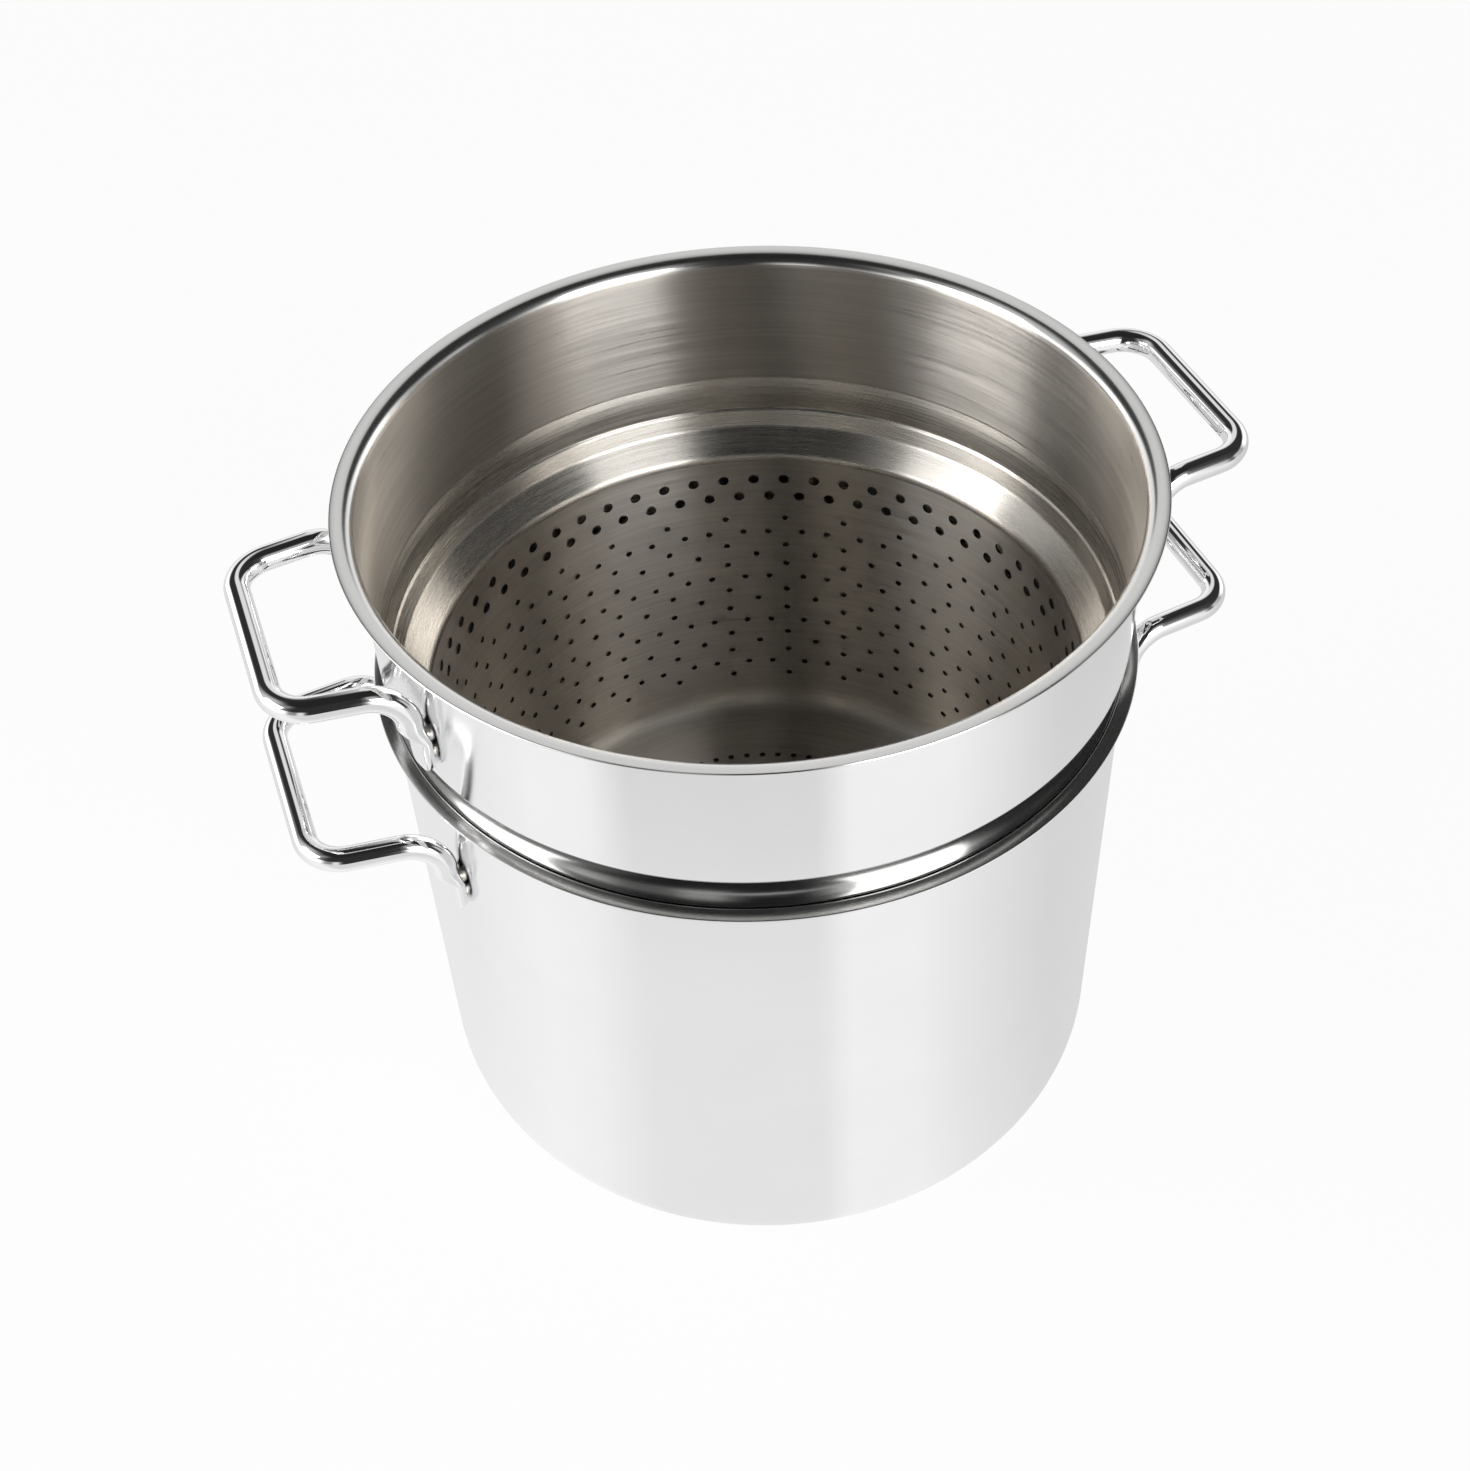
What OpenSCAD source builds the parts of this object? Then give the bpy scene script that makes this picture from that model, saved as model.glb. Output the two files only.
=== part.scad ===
/* [Pot] */
// Outer radius of the pot's straight wall
pot_wall_r = 121; // [100:0.5:150]
// Thickness of the pot's steel wall and bottom
pot_sheet = 1; // [0.8:0.1:1.5]
// Height of the pot's pouring rim above its rounded bottom
pot_height = 184.8; // [150:1:240]
// Radius of the rounded corner between wall and bottom, on the inside
pot_corner_r = 17.7; // [12:0.5:30]
// How far the flat pouring rim stands out from the wall
pot_rim_width = 4.1; // [2:0.1:8]
// Rise of the pouring rim from its edge to the lip
pot_rim_rise = 0.8; // [0.2:0.1:1.5]
// Bend radius where the wall turns out into the pouring rim
pot_lip_r = 1.2; // [1.1:0.1:2]

/* [Base] */
// Radius of the heat-spreading core under the pot
core_r = 103; // [70:0.5:104]
// Thickness of the heat-spreading core
core_h = 4.6; // [2:0.1:8]
// Sheet thickness of the capsule that closes the core in
cap_sheet = 0.8; // [0.5:0.1:1.5]

/* [Strainer insert] */
// Thickness of the insert's steel sheet
insert_sheet = 0.8; // [0.6:0.1:1]
// Running gap between the insert's seat and the pot's lip
seat_gap = 0.3; // [0.2:0.1:1]
// Room between the perforated wall and the pot's wall
basket_gap = 10.6; // [8:0.2:25]
// Height of the insert's floor above the pot's floor
basket_lift = 42.4; // [20:0.5:60]
// Radius of the rounded corner between the perforated wall and the floor
basket_corner_r = 10; // [5:0.5:16]
// How far the collar's outer face stands out from the pot's wall
collar_out = 0.8; // [0.4:0.1:4]
// Height of the whole insert above the pot's pouring rim
collar_height = 64.5; // [45:0.5:90]
// How far the insert's flared rim stands out from the collar
collar_flare = 7; // [4:0.5:12]
// Bend radius of the flared rim
collar_flare_r = 4.4; // [2:0.1:4.6]
// Rise of the flared rim from its bend to its edge
collar_flare_rise = 1.5; // [0:0.1:2]

/* [Strainer holes] */
// Diameter of the drain holes in the two top rows
big_hole_d = 4; // [2:0.1:5]
// Diameter of the drain holes in the wall and floor
small_hole_d = 2.4; // [1.5:0.1:3]
// Number of column pairs round the wall
hole_columns = 30; // [12:1:32]
// Turn of the hole pattern from the handles' line
hole_turn = 3.8; // [0:0.1:12]
// Height of the top row of big holes below the pot's pouring rim
top_row_drop = 23.9; // [20:0.5:30]
// Height between the two rows of big holes
big_row_step = 7.9; // [6:0.1:10]
// Height of one repeat of the small-hole pattern
small_row_pitch = 22.7; // [18:0.1:26]
// Number of repeats of the small-hole pattern
small_row_repeats = 4; // [1:1:4]
// Radius of the outermost ring of floor holes
floor_ring_r = 78; // [50:1:90]
// Distance between the rings of floor holes
floor_ring_step = 18; // [12:1:24]
// Distance between neighbouring holes on a floor ring
floor_hole_step = 6.3; // [5:0.1:12]

/* [Handles] */
// Diameter of the handles' bent rod
rod_d = 8; // [6:0.2:9]
// Distance from the pot's wall to the rod's centre in the pot handles' outer bar
pot_handle_out = 37; // [30:0.5:49]
// Distance from the collar's wall to the rod's centre in the insert handles' outer bar
insert_handle_out = 34.8; // [29:0.2:48]
// Half the length of a handle's outer bar, to where the leg lines cross it
handle_half_w = 34.5; // [30:0.5:40]
// Outward slope of the handle legs towards the wall, in degrees
leg_splay = 7; // [0:0.5:10]
// Bend radius of the two outer corners, at the rod's centre
corner_bend_r = 13; // [9:0.5:18]
// Bend radius where a leg turns down to its foot, at the rod's centre
foot_bend_r = 12; // [9:0.5:13]
// Drop from the loop's centre line to the tip of the foot
foot_drop = 32; // [31:0.5:40]
// Width of the flattened foot
foot_w = 10.5; // [9:0.5:12]
// Thickness of the flattened foot
foot_t = 3.6; // [2.5:0.1:5]
// Length over which the rod flattens into the foot
foot_forge_h = 6.5; // [5:0.5:7]
// Height of the pot's pouring rim above the centre line of the pot handles
pot_handle_drop = 14; // [12:0.5:40]
// Height of the insert handles' centre line above the pot's pouring rim
insert_handle_rise = 49.8; // [45:0.5:70]

/* [Welds] */
// Diameter of the weld nuggets between the feet and the walls
weld_d = 5; // [3:0.5:7]
// Gap between a foot and the wall, filled by the weld nuggets
weld_gap = 0.6; // [0.4:0.1:1]
// Depth to which a nugget is fused into the wall and into the foot
weld_bite = 0.2; // [0.1:0.1:0.5]
// Distance between the two nuggets of one foot
weld_step = 7; // [6:0.5:8]

/* [Hidden] */
$fn = 96;

// Heights, from the face that the pot stands on
base_h = core_h + cap_sheet;
pot_rim_z = base_h + pot_height;
pot_floor_z = base_h + pot_sheet;
basket_floor_z = pot_floor_z + basket_lift;
pot_handle_z = pot_rim_z - pot_handle_drop;
insert_handle_z = pot_rim_z + insert_handle_rise;
insert_top_z = pot_rim_z + collar_height;

// The pot's lip, which carries the insert
pot_inner_r = pot_wall_r - pot_sheet;
lip_top_z = pot_rim_z + pot_rim_rise;
lip_centre = [pot_inner_r + pot_lip_r, lip_top_z - pot_lip_r];

// Shoulder of the insert, as corner points of its inner face: the seat is a small step
// just above the pot's lip, a cove runs from it up to the collar's crease, and below it the
// guide and the ledge narrow to the perforated wall
basket_r = pot_inner_r - basket_gap - insert_sheet;
collar_out_r = pot_wall_r + collar_out;
collar_r = collar_out_r - insert_sheet;
seat_r = pot_inner_r - seat_gap - insert_sheet;
seat_sink = 0.45;
seat_z = lip_top_z - seat_sink;
seat_step = 0.7;
cove_rise = 8.2;
cove_z = lip_top_z + cove_rise;
crease_rise = 12.7;
crease_z = lip_top_z + crease_rise;
guide_h = 5.6;
guide_in = 2.1;
ledge_h = 8.1;

// Bend radii along the shoulder, from the ledge up to the crease
ledge_low_bend = 4;
ledge_high_bend = 3;
seat_low_bend = 1.2;
seat_high_bend = 0.5;
crease_bend = 1;

// The cove's bend is as round as its straight parts leave room for
cove_bend_most = 24;
cove_reach = 3.65;
cove_turn = atan2(abs(collar_r - seat_r - seat_step), crease_z - cove_z);
cove_bend = min(cove_bend_most, cove_reach / tan(cove_turn / 2));

// The handles' outer bars, at the rod's centre
pot_handle_reach = pot_wall_r + pot_handle_out;
insert_handle_reach = collar_out_r + insert_handle_out;

// Smoothness of the many small drain holes
hole_sides = 16;

// A corner is an inner point and a bend radius
function arc_steps(turn) = max(2, ceil(abs(turn) / 15));
function unit(v) = v / norm(v);
function cross_z(a, b) = a[0] * b[1] - a[1] * b[0];

// Points of the rounded corner at q between p and r
function rounded(p, q, r, radius) =
    let (
        d_in = unit(q - p),
        d_out = unit(r - q),
        turn = atan2(cross_z(d_in, d_out), d_in * d_out),
        side = sign(turn),
        cut = radius * tan(abs(turn) / 2),
        start = q - cut * d_in,
        centre = start + side * radius * [-d_in[1], d_in[0]],
        n = arc_steps(turn)
    )
    [for (i = [0 : n])
        let (a = turn * i / n)
        centre + [
            cos(a) * (start - centre)[0] - sin(a) * (start - centre)[1],
            sin(a) * (start - centre)[0] + cos(a) * (start - centre)[1]
        ]
    ];

// A path through the corners, with every bend rounded
function rounded_path(corners, radii) = [
    for (i = [0 : len(corners) - 1])
        let (ends = i == 0 || i == len(corners) - 1)
        for (p = ends || radii[i] == 0 ? [corners[i]]
                : rounded(corners[i - 1], corners[i], corners[i + 1], radii[i]))
            p
];

// Direction square to the path at point i, towards the outside
function outward(path, i) =
    let (
        before = i == 0 ? path[1] - path[0] : path[i] - path[i - 1],
        after = i == len(path) - 1 ? before : path[i + 1] - path[i],
        n1 = unit([before[1], -before[0]]),
        n2 = unit([after[1], -after[0]])
    )
    (n1 + n2) / (1 + n1 * n2);

// Turned sheet of constant thickness: the path is its inner face
module turned_sheet(path, sheet) {
    outer = [for (i = [len(path) - 1 : -1 : 0]) path[i] + sheet * outward(path, i)];
    rotate_extrude($fn = 180)
        polygon(concat(path, outer));
}

module pot_body() {
    corners = [
        [0, pot_floor_z],
        [pot_inner_r, pot_floor_z],
        [pot_inner_r, lip_top_z],
        [pot_wall_r + pot_rim_width, pot_rim_z]
    ];
    color("lightgray")
        turned_sheet(rounded_path(corners, [0, pot_corner_r, pot_lip_r, 0]), pot_sheet);
}

module pot_base_core() {
    color("silver")
        translate([0, 0, cap_sheet])
            cylinder(r = core_r, h = core_h);
}

// Shallow cup that wraps the core and meets the pot's bottom
module pot_base_cap() {
    cup_r = core_r + cap_sheet;
    color("gainsboro")
        difference() {
            rotate_extrude($fn = 180)
                polygon(concat(
                    [[0, 0]],
                    rounded([0, 0], [cup_r, 0], [cup_r, base_h], cap_sheet * 1.5),
                    [[cup_r, base_h], [0, base_h]]
                ));
            translate([0, 0, cap_sheet])
                cylinder(r = core_r, h = core_h + 1);
        }
}

// Inner corner points of the insert, from the floor's centre to the rim's edge
insert_corners = [
    [0, basket_floor_z],
    [basket_r, basket_floor_z],
    [basket_r, seat_z - guide_h - ledge_h],
    [seat_r - guide_in, seat_z - guide_h],
    [seat_r, seat_z],
    [seat_r + seat_step, seat_z + seat_step],
    [seat_r + seat_step, cove_z],
    [collar_r, crease_z],
    [collar_r, insert_top_z - collar_flare_rise],
    [collar_r + collar_flare, insert_top_z]
];
insert_bends = [0, basket_corner_r, ledge_low_bend, ledge_high_bend, seat_low_bend,
                seat_high_bend, cove_bend, crease_bend, collar_flare_r, 0];

module hole(d, z, turn) {
    through = insert_sheet + 2;
    rotate([0, 0, turn])
        translate([basket_r - 1, 0, z])
            rotate([0, 90, 0])
                cylinder(d = d, h = through, $fn = hole_sides);
}

// Two staggered rows of big holes below the shoulder
module big_holes() {
    step = 360 / (2 * hole_columns);
    for (row = [0 : 1], i = [0 : 2 * hole_columns - 1])
        hole(big_hole_d, pot_rim_z - top_row_drop - row * big_row_step,
             hole_turn + (i + row / 2) * step);
}

// One column pair: two singles, two pairs beside them and one hole between
module small_hole_cell(top_z, turn, last) {
    step = 360 / hole_columns;
    hole(small_hole_d, top_z, turn);
    hole(small_hole_d, top_z - 13.2, turn);
    hole(small_hole_d, top_z - 6.6, turn + 0.29 * step);
    hole(small_hole_d, top_z - 6.6, turn - 0.29 * step);
    if (!last)
        hole(small_hole_d, top_z - 17.9, turn + step / 2);
}

module small_holes() {
    top_z = pot_rim_z - top_row_drop - big_row_step - 10.7;
    for (k = [0 : small_row_repeats - 1], i = [0 : hole_columns - 1])
        small_hole_cell(top_z - k * small_row_pitch, hole_turn + i * 360 / hole_columns,
                        k == small_row_repeats - 1);
}

module floor_holes() {
    for (ring_r = [floor_ring_r : -floor_ring_step : floor_ring_step / 2]) {
        count = floor(2 * PI * ring_r / floor_hole_step);
        for (i = [0 : count - 1])
            rotate([0, 0, i * 360 / count])
                translate([ring_r, 0, basket_floor_z - insert_sheet - 1])
                    cylinder(d = small_hole_d, h = insert_sheet + 2, $fn = hole_sides);
    }
}

module insert_body() {
    color("darkgray")
        difference() {
            turned_sheet(rounded_path(insert_corners, insert_bends), insert_sheet);
            big_holes();
            small_holes();
            floor_holes();
        }
}

// Where the feet stand, seen from above, for a wall of radius wall_r
function foot_back_r(wall_r) = wall_r + weld_gap;
function foot_rod_r(wall_r) = foot_back_r(wall_r) + rod_d / 2;
// The leg line is y = half_w + tan(splay) * (reach - x)
function foot_x(wall_r, reach) =
    let (
        k = tan(leg_splay),
        b = handle_half_w + k * reach,
        q = 1 + k * k,
        r = foot_rod_r(wall_r)
    )
    (k * b + sqrt(k * k * b * b - q * (b * b - r * r))) / q;
function foot_y(wall_r, reach) = handle_half_w + tan(leg_splay) * (reach - foot_x(wall_r, reach));
function foot_angle(wall_r, reach) = atan2(foot_y(wall_r, reach), foot_x(wall_r, reach));

// Length of rod that each outer corner takes from the bar and from the leg
corner_turn = 90 - leg_splay;
corner_cut = corner_bend_r * tan(corner_turn / 2);

// Rings of points round the rod, and steps in each bend
rod_sides = 20;
bend_steps = 7;
forge_steps = 6;
tip_shares = [0.03, 0.12, 0.28, 0.5, 0.75, 1];
plate_top = -foot_bend_r - foot_forge_h;
up = [0, 0, 1];

function mix(a, b, t) = a + (b - a) * t;
function smooth_step(x) = let (t = min(1, max(0, x))) t * t * (3 - 2 * t);
function polar(angle) = [cos(angle), sin(angle), 0];

// A ring round centre c with its width along u and its thickness along v: power 2 is round
function ring(c, u, v, half_w, half_t, power) = [
    for (k = [0 : rod_sides - 1])
        let (a = 360 * k / rod_sides)
        c + u * half_w * sign(cos(a)) * pow(abs(cos(a)), 2 / power)
            + v * half_t * sign(sin(a)) * pow(abs(sin(a)), 2 / power)
];
function rod_ring(c, u, v) = ring(c, u, v, rod_d / 2, rod_d / 2, 2);

// Foot at height z below the loop: flat with its back square to the wall, then round
function foot_ring(wall_r, reach, z) =
    let (
        t = smooth_step((z - plate_top + 1.5) / (foot_forge_h + 1)),
        tip = min(1, (z + foot_drop) / (foot_w / 2)),
        half_w = mix(foot_w, rod_d, t) / 2 * sqrt(1 - pow(1 - tip, 2)),
        half_t = mix(foot_t, rod_d, t) / 2 * mix(0.55, 1, min(1, (z + foot_drop) / 1.6)),
        angle = foot_angle(wall_r, reach),
        facing = mix(angle, -leg_splay, t)
    )
    ring(polar(angle) * (foot_back_r(wall_r) + half_t) + z * up,
         polar(facing + 90), polar(facing + 180), half_w, half_t, mix(4, 2, t));

// Bend from the foot out into the leg
function foot_bend_ring(wall_r, reach, b) =
    let (
        leg = polar(-leg_splay),
        foot = [foot_x(wall_r, reach), foot_y(wall_r, reach), 0],
        arm = sin(b) * up - cos(b) * leg
    )
    rod_ring(foot - foot_bend_r * up + foot_bend_r * (leg + arm), polar(90 - leg_splay), arm);

// Bend from the leg into the outer bar
function corner_ring(reach, b) =
    rod_ring([reach - corner_bend_r, handle_half_w - corner_cut, 0] + corner_bend_r * polar(b),
             polar(b), up);

// Rings from one foot's tip to the middle of the outer bar
function half_rings(wall_r, reach) = concat(
    [for (share = tip_shares) foot_ring(wall_r, reach, share * foot_w / 2 - foot_drop)],
    [for (i = [0 : forge_steps - 1])
        foot_ring(wall_r, reach, plate_top - 1.5 + i * (foot_forge_h + 1) / forge_steps)],
    [for (i = [0 : bend_steps]) foot_bend_ring(wall_r, reach, 90 * i / bend_steps)],
    [for (i = [0 : bend_steps]) corner_ring(reach, corner_turn * (1 - i / bend_steps))],
    [rod_ring([reach, 0, 0], polar(0), up)]
);

// Faces of a closed tube of n rings
function tube_faces(n) = concat(
    [[for (k = [0 : rod_sides - 1]) k]],
    [for (i = [0 : n - 2], k = [0 : rod_sides - 1], part = [0, 1])
        let (
            a = i * rod_sides + k,
            b = i * rod_sides + (k + 1) % rod_sides,
            c = b + rod_sides,
            d = a + rod_sides
        )
        part == 0 ? [c, b, a] : [d, c, a]],
    [[for (k = [rod_sides - 1 : -1 : 0]) (n - 1) * rod_sides + k]]
);

// One bent rod with a foot at each end, its loop level at height z
module handle(wall_r, reach, z) {
    near = half_rings(wall_r, reach);
    far = [for (i = [len(near) - 2 : -1 : 0]) [for (p = near[i]) [p[0], -p[1], p[2]]]];
    rings = concat(near, far);
    translate([0, 0, z])
        polyhedron(points = [for (r = rings) each r], faces = tube_faces(len(rings)), convexity = 6);
}

module pot_handle_left() {
    color("white")
        mirror([1, 0, 0])
            handle(pot_wall_r, pot_handle_reach, pot_handle_z);
}

module pot_handle_right() {
    color("white")
        handle(pot_wall_r, pot_handle_reach, pot_handle_z);
}

module insert_handle_left() {
    color("white")
        mirror([1, 0, 0])
            handle(collar_out_r, insert_handle_reach, insert_handle_z);
}

module insert_handle_right() {
    color("white")
        handle(collar_out_r, insert_handle_reach, insert_handle_z);
}

// Weld nuggets of one pair of handles: they bite into the wall and into the feet
module welds(wall_r, reach, z) {
    low_z = z - foot_drop + foot_w / 2;
    for (side = [0 : 1], half = [-1, 1], row = [0 : 1])
        mirror([side, 0, 0])
            rotate([0, 0, half * foot_angle(wall_r, reach)])
                translate([wall_r - weld_bite, 0, low_z + row * weld_step])
                    rotate([0, 90, 0])
                        cylinder(d = weld_d, h = weld_gap + 2 * weld_bite, $fn = 48);
}

module pot_handle_welds() {
    color("gray")
        welds(pot_wall_r, pot_handle_reach, pot_handle_z);
}

module insert_handle_welds() {
    color("gray")
        welds(collar_out_r, insert_handle_reach, insert_handle_z);
}

pot_body();
pot_base_core();
pot_base_cap();
pot_handle_left();
pot_handle_right();
pot_handle_welds();
insert_body();
insert_handle_left();
insert_handle_right();
insert_handle_welds();
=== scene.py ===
import math

import bmesh
import bpy
from mathutils import Matrix, Vector
from mathutils.geometry import delaunay_2d_cdt


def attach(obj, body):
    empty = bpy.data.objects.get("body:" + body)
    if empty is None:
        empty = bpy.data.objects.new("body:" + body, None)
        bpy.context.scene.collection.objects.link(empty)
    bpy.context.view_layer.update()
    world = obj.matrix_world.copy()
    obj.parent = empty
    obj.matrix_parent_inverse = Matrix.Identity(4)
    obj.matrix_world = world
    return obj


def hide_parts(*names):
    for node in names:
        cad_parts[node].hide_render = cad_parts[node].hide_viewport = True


MM = 0.001
IMAGE_W = 1470

# Sizes in millimetres, as in the part's source
POT_R = 121.0
POT_SHEET = 1.0
POT_HEIGHT = 184.8
POT_CORNER_R = 17.7
POT_RIM_WIDTH = 4.1
POT_RIM_RISE = 0.8
POT_LIP_R = 1.2
CORE_R = 103.0
CORE_H = 4.6
CAP_SHEET = 0.8

INSERT_SHEET = 0.8
SEAT_GAP = 0.3
BASKET_R = 108.6
BASKET_LIFT = 42.4
BASKET_CORNER_R = 10.0
COLLAR_R = 121.0
COLLAR_HEIGHT = 64.5
COLLAR_FLARE = 7.0
COLLAR_FLARE_R = 4.4
COLLAR_FLARE_RISE = 1.5

BIG_HOLE_D = 4.0
SMALL_HOLE_D = 2.4
HOLE_COLUMNS = 30
HOLE_TURN = 3.8
TOP_ROW_DROP = 23.9
BIG_ROW_STEP = 7.9
SMALL_ROW_PITCH = 22.7
SMALL_ROW_REPEATS = 4
FLOOR_RING_R = 78.0
FLOOR_RING_STEP = 18.0
FLOOR_HOLE_STEP = 6.3

ROD_D = 8.0
POT_HANDLE_OUT = 37.0
INSERT_HANDLE_OUT = 34.8
HALF_W = 34.5
SPLAY = math.radians(7.0)
CORNER_BEND_R = 13.0
FOOT_BEND_R = 12.0
FOOT_DROP = 32.0
FOOT_W = 10.5
FOOT_T = 3.6
FOOT_FORGE_H = 6.5
WELD_GAP = 0.6
ROD_SIDES = 32
TIP_SHARES = (0.03, 0.08, 0.16, 0.27, 0.4, 0.55, 0.72, 0.88, 1.0)
POT_HANDLE_DROP = 14.0
INSERT_HANDLE_RISE = 49.8

BASE_H = CORE_H + CAP_SHEET
POT_RIM_Z = BASE_H + POT_HEIGHT
POT_FLOOR_Z = BASE_H + POT_SHEET
POT_INNER_R = POT_R - POT_SHEET
LIP_TOP_Z = POT_RIM_Z + POT_RIM_RISE
BASKET_FLOOR_Z = POT_FLOOR_Z + BASKET_LIFT
INSERT_TOP_Z = POT_RIM_Z + COLLAR_HEIGHT
SEAT_R = POT_INNER_R - SEAT_GAP - INSERT_SHEET
SEAT_Z = LIP_TOP_Z - 0.45
SEAT_STEP = 0.7
COVE_Z = LIP_TOP_Z + 8.2
CREASE_Z = LIP_TOP_Z + 12.7
GUIDE_H = 5.6
GUIDE_IN = 2.1
LEDGE_H = 8.1
COLLAR_OUT_R = COLLAR_R + INSERT_SHEET
POT_REACH = POT_R + POT_HANDLE_OUT
INSERT_REACH = COLLAR_OUT_R + INSERT_HANDLE_OUT

# Turned pieces have this many steps round the axis
STEPS_PER_COLUMN = 8
AROUND = HOLE_COLUMNS * STEPS_PER_COLUMN
# How far from a bend the point stands that keeps a straight part flat in shading
BEND_SIDE = 0.3
# The wall's panels are cut between two columns of holes, at this share of a column's width
PANEL_CUT = 0.125
START_ANGLE = math.radians(HOLE_TURN + PANEL_CUT * 360 / HOLE_COLUMNS)

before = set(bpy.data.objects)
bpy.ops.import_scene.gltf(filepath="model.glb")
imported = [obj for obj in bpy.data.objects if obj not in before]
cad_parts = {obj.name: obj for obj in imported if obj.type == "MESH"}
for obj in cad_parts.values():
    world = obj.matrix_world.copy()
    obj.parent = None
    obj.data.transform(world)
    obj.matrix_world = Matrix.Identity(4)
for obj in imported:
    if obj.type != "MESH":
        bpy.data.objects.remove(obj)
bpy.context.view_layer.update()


# Paths with rounded corners

def unit(v):
    return v.normalized()


def rounded_corner(p, q, r, radius, step_deg):
    """Points of the bend of the given radius at q, on the way from p to r."""
    d_in = unit(q - p)
    d_out = unit(r - q)
    turn = math.atan2(d_in.x * d_out.y - d_in.y * d_out.x, d_in.dot(d_out))
    side = 1 if turn > 0 else -1
    start = q - d_in * radius * math.tan(abs(turn) / 2)
    centre = start + Vector((-d_in.y, d_in.x)) * radius * side
    count = max(3, math.ceil(abs(math.degrees(turn)) / step_deg))
    arm = start - centre
    return [centre + Matrix.Rotation(turn * i / count, 2) @ arm for i in range(count + 1)]


def rounded_path(corners, radii, step_deg=6):
    """A path through the corners, with every bend rounded."""
    pts = [Vector(c) for c in corners]
    path = []
    for i, p in enumerate(pts):
        if i in (0, len(pts) - 1) or radii[i] == 0:
            bend = [p]
        else:
            bend = rounded_corner(pts[i - 1], p, pts[i + 1], radii[i], step_deg)
        # A point just outside each bend keeps the straight part between two bends flat in shading
        leg = bend[0] - path[-1] if path else Vector((0, 0))
        if leg.length > 4 * BEND_SIDE:
            if i > 1:
                path.append(path[-1] + unit(leg) * BEND_SIDE)
            if len(bend) > 1:
                path.append(bend[0] - unit(leg) * BEND_SIDE)
        path += bend
    return path


def offset_path(path, distance):
    """The path moved sideways, to the right of its direction."""
    moved = []
    for i, p in enumerate(path):
        before = path[i] - path[i - 1] if i else path[1] - path[0]
        after = path[i + 1] - path[i] if i < len(path) - 1 else before
        n1 = unit(Vector((before.y, -before.x)))
        n2 = unit(Vector((after.y, -after.x)))
        moved.append(p + (n1 + n2) * distance / (1 + n1.dot(n2)))
    return moved


def rolled_edge(inner_end, outer_end, steps=4):
    """Half-round points between the two faces of a sheet, past its edge."""
    mid = (inner_end + outer_end) / 2
    arm = inner_end - mid
    out = []
    for i in range(1, steps):
        a = math.pi * i / steps
        out.append(mid + Matrix.Rotation(-a, 2) @ arm)
    return out


# Meshes

def new_object(name, verts, faces, smooth_deg=35):
    mesh = bpy.data.meshes.new(name)
    mesh.from_pydata([tuple(v) for v in verts], [], faces)
    bm = bmesh.new()
    bm.from_mesh(mesh)
    bmesh.ops.remove_doubles(bm, verts=bm.verts, dist=0.000002)
    bm.to_mesh(mesh)
    bm.free()
    mesh.validate()
    mesh.shade_smooth()
    mesh.set_sharp_from_angle(angle=math.radians(smooth_deg))
    obj = bpy.data.objects.new(name, mesh)
    bpy.context.scene.collection.objects.link(obj)
    return obj


class Shell:
    """Collects points and faces, and joins points that lie in one place."""

    def __init__(self):
        self.verts = []
        self.faces = []
        self.index = {}

    def point(self, x, y, z):
        key = (round(x, 3), round(y, 3), round(z, 3))
        if key not in self.index:
            self.index[key] = len(self.verts)
            self.verts.append((x * MM, y * MM, z * MM))
        return self.index[key]

    def face(self, ids):
        clean = [v for i, v in enumerate(ids) if v != ids[i - 1]]
        if len(set(clean)) > 2:
            self.faces.append(clean)

    def turn(self, path, around=AROUND):
        """Turned surface of a path of (radius, height) points, facing right of its direction."""
        rows = []
        for p in path:
            row = []
            for i in range(around):
                a = START_ANGLE + 2 * math.pi * i / around
                row.append(self.point(p.x * math.cos(a), p.x * math.sin(a), p.y))
            rows.append(row)
        for low, high in zip(rows, rows[1:]):
            for i in range(around):
                j = (i + 1) % around
                self.face([low[i], low[j], high[j], high[i]])


def turned_piece(name, path, sheet):
    """Turned sheet of one thickness, with its free edge rolled round."""
    path = [p.copy() for p in path]
    path[-1] -= unit(path[-1] - path[-2]) * sheet / 2
    outer = offset_path(path, sheet)
    loop = list(path) + rolled_edge(path[-1], outer[-1]) + outer[::-1]
    shell = Shell()
    shell.turn(loop[::-1])
    return new_object(name, shell.verts, shell.faces)


def ring_points(cx, cy, r, count):
    return [(cx + r * math.cos(2 * math.pi * i / count), cy + r * math.sin(2 * math.pi * i / count))
            for i in range(count)]


def punched_outline(outline, holes, grid):
    """Flat points, triangles and hole loops of an outline with round holes in it."""
    verts = []
    edges = []

    def loop(points):
        first = len(verts)
        verts.extend(Vector(p) for p in points)
        edges.extend((first + i, first + (i + 1) % len(points)) for i in range(len(points)))

    loop(outline)
    loops = []
    for cx, cy, r in holes:
        loops.append(ring_points(cx, cy, r, 20 if r > 1.5 else 16))
        loop(loops[-1])
    for p in grid:
        if all((p[0] - cx) ** 2 + (p[1] - cy) ** 2 > (r + 0.55) ** 2 for cx, cy, r in holes):
            verts.append(Vector(p))
    flat, _, tris, _, _, _ = delaunay_2d_cdt(verts, edges, [], 0, 1e-5)
    kept = []
    for tri in tris:
        mid = sum((flat[i] for i in tri), Vector((0, 0))) / 3
        if all((mid.x - cx) ** 2 + (mid.y - cy) ** 2 > (r * 0.97) ** 2 for cx, cy, r in holes):
            kept.append(tri)
    return flat, kept, loops


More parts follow.
